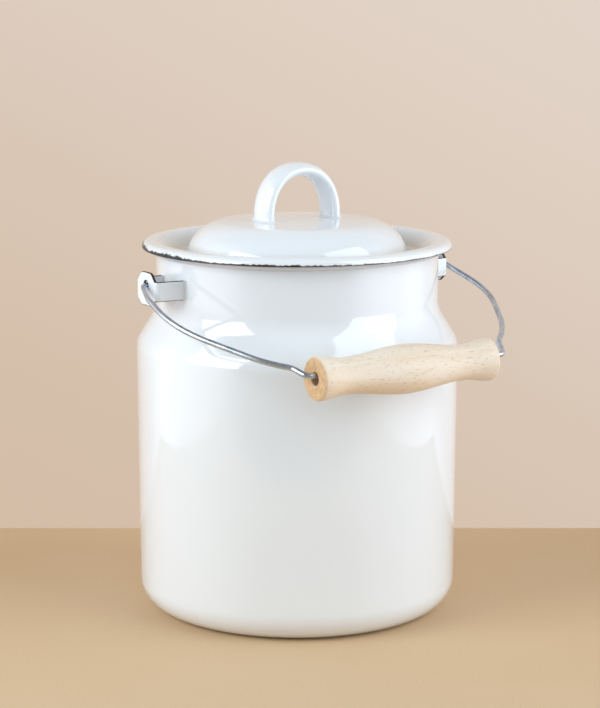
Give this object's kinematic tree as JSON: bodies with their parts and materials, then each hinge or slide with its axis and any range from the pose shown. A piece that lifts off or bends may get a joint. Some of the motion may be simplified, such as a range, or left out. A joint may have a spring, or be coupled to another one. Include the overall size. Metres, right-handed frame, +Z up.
{
  "type": "milk pail",
  "caption": "White enamelled milk pail with a shouldered body, a lift-off domed lid, a wire bail and a turned wooden grip.",
  "frame": {"origin": "centre of the flat base, on the floor", "axes": "+Z up; +X along the bail's pivot line, from the left ear to the right ear; the bail rests folded down to the front, -Y"},
  "size_m": [0.2069, 0.209, 0.2499],
  "materials": {
    "enamel": "glossy white enamel with thin dark edges",
    "wire": "plain drawn steel wire, semi-bright",
    "beech": "unvarnished turned beech, satin"
  },
  "bodies": {
    "pail": {"pail_body": "enamel", "ear_left": "enamel", "ear_right": "enamel"},
    "lid": {"lid_shell": "enamel", "lid_handle": "enamel"},
    "bail": {"bail_wire": "wire"},
    "grip": {"grip": "beech"}
  },
  "joints": [
    {"name": "lid_lift", "type": "slide", "parent": "pail", "child": "lid", "axis": [0, 0, 1], "range_m": [0, 0.15]},
    {"name": "bail_swing", "type": "hinge", "parent": "pail", "child": "bail", "pos_m": [0, 0, 0.1882], "axis": [-1, 0, 0], "range_deg": [0, 217.4]},
    {"name": "grip_spin", "type": "hinge", "parent": "bail", "child": "grip", "pos_m": [0, -0.10609, 0.15059], "axis": [1, 0, 0], "continuous": true}
  ]
}
